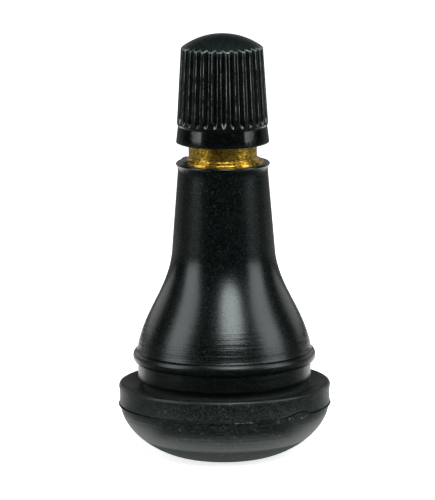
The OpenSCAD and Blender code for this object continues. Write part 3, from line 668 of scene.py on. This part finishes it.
def makeBrassStem():
    s = stemSizes
    edge, fine = s["flangeEdge"], s["ringEdge"]
    ringZ, top = s["flangeZ"] + s["flangeT"], stemHigh.z
    landZ = ringZ + s["ringH"]
    threadZ = landZ + s["landH"]
    mouth = (s["threadR"] - s["chamberR"]) / 4
    rows = [(s["boreR"] + 0.1, stemLow.z), (s["collarR"] - 0.1, stemLow.z), (s["collarR"], stemLow.z + 0.1)]
    rows += [(s["collarR"], stemLow.z + s["collarT"]), (s["shankR"], stemLow.z + s["collarT"])]
    pitch = (s["flangeZ"] - stemLow.z - s["collarT"]) / (s["keys"] + 1)
    for i in range(s["keys"]):
        z = stemLow.z + s["collarT"] + pitch * (i + 1)
        rows += [(s["shankR"], z - s["keyW"] / 2), (s["shankR"] - s["keyIn"], z - s["keyW"] / 4),
                 (s["shankR"] - s["keyIn"], z + s["keyW"] / 4), (s["shankR"], z + s["keyW"] / 2)]
    rows += [(s["shankR"], s["flangeZ"]), (s["flangeR"], s["flangeZ"])]
    rows += rounded((s["flangeR"], ringZ - edge), (s["flangeR"], ringZ), (s["flangeR"] - edge, ringZ), 3)
    rows += [(s["ringR"] + 0.01, ringZ), (s["ringR"], ringZ + 0.01)]
    rows += rounded((s["ringR"], landZ - fine), (s["ringR"], landZ), (s["ringR"] - fine, landZ), 4)
    rows += rounded((s["landR"] + fine, landZ), (s["landR"], landZ), (s["landR"], landZ + fine), 3)
    rows += line((s["landR"], landZ + 0.1), (s["landR"], threadZ - 0.02), 4)
    rows += threadRows(s["threadR"], threadZ + 0.14, top - mouth, s["capPitch"], s["rowsPerTurn"],
                       s["capFade"], s["capDepth"], mouth)
    rows += [(s["threadR"] - mouth, top - 0.03), (s["threadR"] - mouth - 0.03, top)]
    rows += rounded((s["chamberR"] + mouth + 0.04, top), (s["chamberR"] + mouth, top),
                    (s["chamberR"] + mouth - 0.03, top - 0.03), 3)
    rows += threadRows(s["chamberR"], top - mouth, s["chamberThreadZ"], s["corePitch"], s["rowsPerTurn"],
                       s["coreFade"])
    rows += [(s["chamberR"], s["seatTopZ"]), (s["boreR"], s["seatZ"]), (s["boreR"], stemLow.z + 0.1)]
    piece = turned("turnedStem", rows, s["segments"])
    threadSide(piece, False, s["capPitch"], s["capDepth"])
    threadSide(piece, True, s["corePitch"], s["coreDepth"])
    piece.data.attributes.remove(piece.data.attributes["threadShare"])
    shade(piece, 34)
    return piece


# Threads the inside or the outside of the stem's wall, each with its own pitch: the thread's share is
# kept on that side alone while the tree is applied
def threadSide(piece, inside, pitch, depth):
    shares = piece.data.attributes["threadShare"]
    kept = [item.value for item in shares.data]
    wall = (stemSizes["threadR"] + stemSizes["chamberR"]) / 2 * mm
    for item, vertex in zip(shares.data, piece.data.vertices):
        if (math.hypot(vertex.co.x, vertex.co.y) < wall) != inside:
            item.value = 0.0
    applyTree(piece, threadTree, {
        "Pitch": pitch * mm, "Depth": depth * mm, "Material": brass, **threadShape})
    piece.data.attributes["threadShare"].data.foreach_set("value", kept)


stem = makeBrassStem()
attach(stem, "valve_body")
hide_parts("brass_stem")
print("brass stem made")


# Cap

capSizes = {
    "lipR": 5.09, "lipEdge": 0.232, "skirtTaper": 7.1, "skirtH": 1.9, "crownH": 1.5,
    "ribs": 30, "ribR": 4.965, "ribTaper": 3.46, "ribFoot": 3, "ribFootRound": 2.2,
    "firstFlute": 7.8, "fluteIn": 0.31, "fluteW": 0.66, "fluteRise": 0.74, "cutterR": 2.0,
    "ribEdge": 0.05, "crownEdge": 0.1, "floorEdge": 0.03, "runOutEdge": 0.16,  # roundings
    "ribGlint": 0.035, "crownGlint": 0.08, "glintLow": 0.35, "glintRise": 1.2,  # painted highlight along the edges
    "boreR": 3.93, "pitch": 25.4 / 32, "depth": 0.43, "fade": 0.4, "threadEnd": 0.9, "rowsPerTurn": 9,
    "washerSeatZ": 43.33, "pocketR": 2.85, "pocketZ": 45.03, "pocketEdge": 0.2,
    "pivotIn": 1.25, "upperRows": 6, "fluteRows": 22, "nearFlute": 0.4,  # rows of the mesh
}

# Directions of the mesh's rows over the crown, in degrees above the level of the pivot
crownRises = [90, 84, 76, 68, 60, 52, 45, 38.5, 33, 28.5, 25, 22.5, 20.6, 19.2, 18.1, 17.2, 16.4, 15.6,
              14.8, 14, 13, 11.6, 9.5, 5, 0]


# Heights and radii of the cap's outside
class capShape:
    def __init__(self, s):
        self.s = s
        self.ribZ = capLow.z + s["skirtH"]
        self.lean = math.tan(math.radians(s["ribTaper"]))
        self.skirtTop = s["lipR"] - s["skirtH"] * math.tan(math.radians(s["skirtTaper"]))
        self.footH = (s["ribR"] - self.skirtTop) * s["ribFoot"]
        self.footZ = self.ribZ + self.footH
        self.floorZ = self.footZ + s["fluteRise"]
        self.crownZ = capHigh.z - s["crownH"]
        self.crownR = s["ribR"] - (self.crownZ - self.ribZ) * self.lean
        self.ballR = (self.crownR ** 2 + s["crownH"] ** 2) / (2 * s["crownH"])
        self.slope = s["fluteIn"] / (s["fluteW"] / 2)

    def ribRadius(self, z):
        s = self.s
        if z <= self.ribZ:
            return s["lipR"] - (z - capLow.z) * math.tan(math.radians(s["skirtTaper"]))
        ribR = s["ribR"] - (z - self.ribZ) * self.lean
        if z >= self.footZ:
            return ribR
        share = (z - self.ribZ) / self.footH
        ease = 1 - (1 - share) ** s["ribFootRound"]
        return self.skirtTop + (s["ribR"] - self.footH * self.lean - self.skirtTop) * ease

    def floorRadius(self, z):
        s = self.s
        if z >= self.floorZ:
            return s["ribR"] - s["fluteIn"] - (z - self.footZ) * self.lean
        tilt = math.radians(s["ribTaper"])
        floorR = s["ribR"] - s["fluteIn"] - s["fluteRise"] * self.lean
        centreR = floorR + s["cutterR"] * math.cos(tilt)
        centreZ = self.floorZ + s["cutterR"] * math.sin(tilt)
        return centreR - math.sqrt(max(0.0, s["cutterR"] ** 2 - (z - centreZ) ** 2))

    # Angles here are measured from the middle of a flute
    def sideRadius(self, z, angle):
        return smoothMin(self.ribRadius(z), self.wallRadius(z, angle), self.s["ribEdge"])

    def wallRadius(self, z, angle):
        runOut = min(1.0, max(0.0, (self.floorZ - z) / self.s["cutterR"] * 2))
        soft = self.s["floorEdge"] + (self.s["runOutEdge"] - self.s["floorEdge"]) * runOut
        across = abs(self.ribRadius(z) * math.sin(angle))
        if across < soft:
            across = (across ** 2 / soft + soft) / 2
        return self.floorRadius(z) + across * self.slope

    # How much painted highlight a point gets: 1 on the edge of a rib or of the crown, 0 past the edge's width
    def paintedGlint(self, r, z, angle):
        s = self.s
        crown = self.overCrown(r, z)
        rim = 1 - abs(r - self.sideRadius(z, angle) - crown) / s["crownGlint"]
        rib = 1 - abs(self.ribRadius(z) - self.wallRadius(z, angle)) / s["ribGlint"]
        rib *= min(1.0, max(0.0, (z - self.floorZ) / s["glintRise"] + s["glintLow"]))
        if z > self.crownZ + s["crownEdge"]:
            rib = 0.0
        return max(0.0, rim, rib)

    def overCrown(self, r, z):
        return math.hypot(r, z - (capHigh.z - self.ballR)) - self.ballR

    # Half the angle that a flute takes up at a height
    def fluteAngle(self, z):
        depth = self.ribRadius(z) - self.floorRadius(z)
        return math.asin(max(0.0, depth) / self.slope / self.ribRadius(z))

    # How far a point is outside the cap's skin
    def outside(self, r, z, angle):
        side = r - self.sideRadius(z, angle)
        return smoothMax(side, self.overCrown(r, z), self.s["crownEdge"])

    # Where a line from the pivot on the axis meets the skin
    def reach(self, pivot, rise, angle):
        low, high = 0.0, 9.0
        for _ in range(40):
            middle = (low + high) / 2
            r, z = middle * math.cos(rise), pivot + middle * math.sin(rise)
            low, high = (middle, high) if self.outside(r, z, angle) < 0 else (low, middle)
        return low * math.cos(rise), pivot + low * math.sin(rise)


# Angles of the mesh's columns over one flute, with a column on each of its edges
def columnAngles(half, flute):
    least = half * 0.12
    edge = min(max(flute, least), half * 0.86)
    after = edge + (half - edge) * 0.22
    middle = edge + (half - edge) * 0.6
    right = [0.0, edge * 0.45, edge * 0.84, edge, after, middle, half]
    return [-a for a in reversed(right[1:])] + right


def makeCap():
    s = capSizes
    shape = capShape(s)
    half = math.pi / s["ribs"]
    even = [half * i / 6 for i in range(-6, 7)]
    pivot = shape.crownZ - s["pivotIn"]
    grid = []
    flute = shape.fluteAngle(pivot)
    for rise in crownRises:
        places = [(a, *shape.reach(pivot, math.radians(rise), a)) for a in columnAngles(half, flute)]
        grid.append([(a, r, z, 0.0, shape.paintedGlint(r, z, a)) for a, r, z in places])
    upper, lower = s["upperRows"], s["fluteRows"]
    runOutZ = shape.floorZ + s["nearFlute"]
    entry = capLow.z + s["lipEdge"]
    heights = [pivot + (runOutZ - pivot) * i / upper for i in range(1, upper + 1)]
    heights += [runOutZ + (shape.ribZ - runOutZ) * i / lower for i in range(1, lower + 1)]
    heights += [shape.ribZ - 0.12, entry + 0.55, entry]
    for z in heights:
        places = [(a, shape.sideRadius(z, a)) for a in columnAngles(half, shape.fluteAngle(z))]
        grid.append([(a, r, z, 0.0, shape.paintedGlint(r, z, a)) for a, r in places])
    lean = math.tan(math.radians(s["skirtTaper"]))
    lip = rounded((s["lipR"] - s["lipEdge"] * lean, entry), (s["lipR"], capLow.z),
                  (s["lipR"] - s["lipEdge"], capLow.z), 6)[1:]
    lip += [(s["boreR"] + s["lipEdge"], capLow.z), (s["boreR"] + 0.02, entry - 0.02)]
    for r, z in lip:
        grid.append([(a, r, z, 0.0) for a in even])
    seatZ, corner = s["washerSeatZ"], s["pocketEdge"]
    inside = threadRows(s["boreR"], entry, seatZ - s["threadEnd"], s["pitch"], s["rowsPerTurn"], s["fade"])
    inside += [(s["boreR"], seatZ, 0.0), (s["pocketR"], seatZ, 0.0),
               (s["pocketR"], s["pocketZ"] - corner, 0.0), (s["pocketR"] - corner, s["pocketZ"], 0.0), (0.0, s["pocketZ"], 0.0)]
    for r, z, share in inside:
        grid.append([(a, r, z, share) for a in even])
    first = math.radians(s["firstFlute"])
    # Each point keeps its share of the painted highlight, which the plastic draws as pale lines
    points, shares, paintedGlint, faces = [], [], [], []
    for row in grid:
        for a, r, z, share, *worn in row:
            points.append((r * math.cos(a + first), r * math.sin(a + first), z))
            shares.append(share)
            paintedGlint.append(worn[0] if worn else 0.0)
    width = len(even)
    for i in range(len(grid) - 1):
        for j in range(width - 1):
            a, b = i * width + j, (i + 1) * width + j
            faces.append((a, b, b + 1, a + 1))
    piece = newPiece("ribbedCap", points, faces, threadShare=shares, wornEdge=paintedGlint)
    weld(piece, 1e-8)
    applyTree(piece, ribTree, {
        "Ribs": s["ribs"], "Weld": 2e-7, "Pitch": s["pitch"] * mm, "Depth": s["depth"] * mm,
        "Material": plastic, **threadShape})
    piece.data.attributes.remove(piece.data.attributes["threadShare"])
    shade(piece, 40)
    return piece


cap = makeCap()
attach(cap, "cap")
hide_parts("cap_shell")
print("cap made")


# Valve core

swivelSizes = {
    "threadR": 2.58, "threadL": 2.9, "pitch": 25.4 / 36, "depth": 0.3, "fade": 0.25, "edge": 0.05,
    "headR": 2.3, "flatW": 2.6, "headH": 0.9, "neckR": 1.3, "neckH": 0.8, "discR": 1.7, "discT": 0.4,
    "holeR": 0.72, "segments": 144, "rowsPerTurn": 12,
}


# The core's threaded head, with a flat on each side for the key and a disc that turns in the barrel
def makeSwivel():
    s = swivelSizes
    top = swivelHigh.z
    threadTop = top - s["headH"]
    threadLow = threadTop - s["threadL"]
    discTop = threadLow - s["neckH"]

    def head(radius):
        flat = s["flatW"] / 2 - s["headR"] + radius
        return lambda angle: min(radius, flat / max(abs(math.cos(angle)), 1e-6))

    rows = [(s["holeR"], discTop - s["discT"]), (s["discR"], discTop - s["discT"]), (s["discR"], discTop)]
    core = s["threadR"] - s["depth"]
    rows += [(s["neckR"], discTop), (s["neckR"], threadLow), (core, threadLow)]
    rows += threadRows(s["threadR"], threadLow + s["edge"], threadTop - s["edge"], s["pitch"],
                       s["rowsPerTurn"], s["fade"], s["depth"], s["depth"])
    rows += [(core, threadTop), (head(s["headR"]), threadTop + 0.01)]
    rows += [(head(s["headR"]), top - 0.1), (head(s["headR"] - 0.03), top - 0.03),
             (head(s["headR"] - 0.1), top)]
    rows += [(s["holeR"] + 0.12, top), (s["holeR"] + 0.03, top - 0.04), (s["holeR"], top - 0.12)]
    piece = turned("coreSwivel", rows, s["segments"])
    applyTree(piece, threadTree, {
        "Pitch": s["pitch"] * mm, "Depth": s["depth"] * mm, "Material": brass, **threadShape})
    piece.data.attributes.remove(piece.data.attributes["threadShare"])
    shade(piece, 34)
    return piece


swivel = makeSwivel()
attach(swivel, "swivel")
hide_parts("core_swivel")

pinSizes = {"pinR": 0.5, "headR": 0.8, "headT": 0.45, "footT": 0.45, "segments": 64}


def makePin():
    s = pinSizes
    top, low = pinHigh.z, pinLow.z
    headZ = top - s["headT"]
    rows = rounded((0.0, low), (s["headR"], low), (s["headR"], low + s["footT"] * 0.5), 5)
    rows += [(s["headR"], low + s["footT"]), (s["pinR"], low + s["footT"]), (s["pinR"], headZ - 0.3)]
    rows += rounded((s["pinR"], headZ - 0.02), (s["pinR"], headZ), (s["headR"], headZ + 0.02), 4)
    rows += rounded((s["headR"], headZ + 0.05), (s["headR"], top - 0.02), (s["pinR"], top - 0.02), 6)
    rows += rounded((s["pinR"] - 0.06, top), (0.2, top), (0.0, top - 0.06), 5)
    piece = turned("corePin", rows, s["segments"])
    weld(piece)
    piece.data.materials.append(steel)
    shade(piece, 34)
    return piece


pin = makePin()
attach(pin, "pin")
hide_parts("core_pin")

nodeMaterials = {
    "cap_seal": sealRubber, "core_gasket": sealRubber, "cup_seal": sealRubber,
    "core_barrel": brass, "spring_collar": brass, "valve_cup": brass, "core_spring": steel,
}
for name, material in nodeMaterials.items():
    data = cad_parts[name].data
    data.materials.clear()
    data.materials.append(material)
print("valve core made")


# Studio

studio = {
    "floorSize": 3.0, "floor": "#f4f4f4", "floorGlow": 0.85, "world": "#ffffff",
    "cameraPlace": (0, -0.535, 0.1184), "cameraAim": (0, 0, 0.0228), "lens": 360, "sensor": 36,
    "shift": (-0.012, -0.004), "roll": -0.45,
    "lampAim": (0, 0, 0.024), "lampFar": 0.65,
    "roundLamps": ["frontBox"],  # its reflection on the flare has no corners
    "cardZ": 0.2, "cardSteps": 24,
}

# Softboxes by their direction from the valve, in degrees: azimuth from the camera toward the
# right, elevation, width, height, and then the strength as radiance
lamps = {
    "leftBox": (-70, 24, 29, 40, 4.3),
    "rightBox": (72, 24, 29, 40, 4.3),
    "frontBox": (13.5, 41.5, 29, 26, 12.0),
    "topBox": (8, 68, 34, 22, 3.0),
    "backLeft": (-142, 12, 38, 20, 1.0),
    "backRight": (142, 12, 38, 20, 0.9),
    "backBox": (180, 13, 38, 18, 0.3),
}

# Grey cards on the lit floor that keep the rubber dark, as a photographer lays them: first and last
# angle from the camera, nearest and furthest distance in metres, and colour. Only reflections see them.
cards = {
    "frontCard": (-60, 60, 0.0115, 0.12, "#343434"),
    "farFrontCard": (-60, 60, 0.12, 1.5, "#424242"),
    "leftCard": (-100, -60, 0.0165, 0.12, "#5c5c5c"),
    "rightCard": (60, 100, 0.0165, 0.12, "#5c5c5c"),
    "leftSideCard": (-125, -100, 0.02, 0.12, "#b4b4b4"),
    "rightSideCard": (100, 125, 0.02, 0.12, "#b4b4b4"),
    "farLeftCard": (-115, -60, 0.12, 1.5, "#707070"),
    "farRightCard": (60, 115, 0.12, 1.5, "#707070"),
    "backLeftCard": (-170, -115, 0.121, 1.5, "#909090"),
    "backRightCard": (115, 170, 0.121, 1.5, "#909090"),
}


def aimed(obj, place, target, roll=0.0):
    way = Vector(target) - Vector(place)
    turn = way.to_track_quat("-Z", "Y") @ Quaternion((0, 0, 1), math.radians(roll))
    obj.location = place
    obj.rotation_euler = turn.to_euler()
    bpy.context.scene.collection.objects.link(obj)


def makeCard(name, first, last, near, far, shown):
    points, faces = [], []
    count = studio["cardSteps"]
    for i in range(count + 1):
        angle = math.radians(first + (last - first) * i / count - 90)
        for radius in (near, far):
            points.append((radius / mm * math.cos(angle), radius / mm * math.sin(angle), studio["cardZ"]))
    for i in range(count):
        faces.append((2 * i, 2 * i + 1, 2 * i + 3, 2 * i + 2))
    card = newPiece(name, points, faces)
    material, tree, shader = newMaterial("mattGreyCard", shown)  # flat grey, with no shine of its own
    setInputs(tree, shader, {"Base Color": colour(shown), "Specular IOR Level": 0.0})
    card.data.materials.append(material)
    card.visible_camera = card.visible_diffuse = card.visible_shadow = card.visible_transmission = False


# A point in a direction from the valve
def lampPlace(azimuth, elevation):
    turn, rise = math.radians(azimuth), math.radians(elevation)
    way = Vector((math.sin(turn) * math.cos(rise), -math.cos(turn) * math.cos(rise), math.sin(rise)))
    return Vector(studio["lampAim"]) + way * studio["lampFar"]


def makeStudio():
    data = bpy.data.cameras.new("productCamera")
    data.lens, data.sensor_width = studio["lens"], studio["sensor"]
    data.shift_x, data.shift_y = studio["shift"]
    data.clip_start, data.clip_end = 0.01, 10
    camera = bpy.data.objects.new("productCamera", data)
    aimed(camera, studio["cameraPlace"], studio["cameraAim"], studio["roll"])
    bpy.context.scene.camera = camera

    for name, (azimuth, elevation, across, upright, strength) in lamps.items():
        data = bpy.data.lights.new(name, "AREA")
        width, height = [2 * studio["lampFar"] * math.tan(math.radians(a / 2)) for a in (across, upright)]
        data.shape = "ELLIPSE" if name in studio["roundLamps"] else "RECTANGLE"
        data.size, data.size_y = width, height
        area = width * height * (math.pi / 4 if data.shape == "ELLIPSE" else 1)
        data.energy = strength * math.pi * area
        aimed(bpy.data.objects.new(name, data), lampPlace(azimuth, elevation), studio["lampAim"])

    half = studio["floorSize"] / 2 / mm
    floor = newPiece("paleFloor", [(-half, -half, 0), (half, -half, 0), (half, half, 0), (-half, half, 0)],
                     [(0, 1, 2, 3)])
    # Matt white paper on a light table: it glows, so that the valve throws almost no shadow
    pale = colour(studio["floor"])
    material, tree, shader = newMaterial("palePaper", studio["floor"])
    setInputs(tree, shader, {
        "Base Color": pale, "Roughness": 0.9, "Specular IOR Level": 0.1,
        "Emission Color": pale, "Emission Strength": studio["floorGlow"]})
    floor.data.materials.append(material)
    for name, (first, last, near, far, shown) in cards.items():
        makeCard(name, first, last, near, far, shown)

    world = bpy.data.worlds.new("studioWorld")
    bpy.context.scene.world = world
    world.use_nodes = True
    sky = world.node_tree.nodes["Background"]
    sky.inputs["Color"].default_value = colour(studio["world"])
    # A white backdrop all round that gives no light, so that the room over the valve stays dark
    seen = world.cycles_visibility
    seen.diffuse = seen.glossy = seen.transmission = seen.scatter = False
    bpy.context.scene.view_settings.view_transform = "Standard"
    bpy.context.scene.view_settings.look = "None"


makeStudio()
print("studio made")
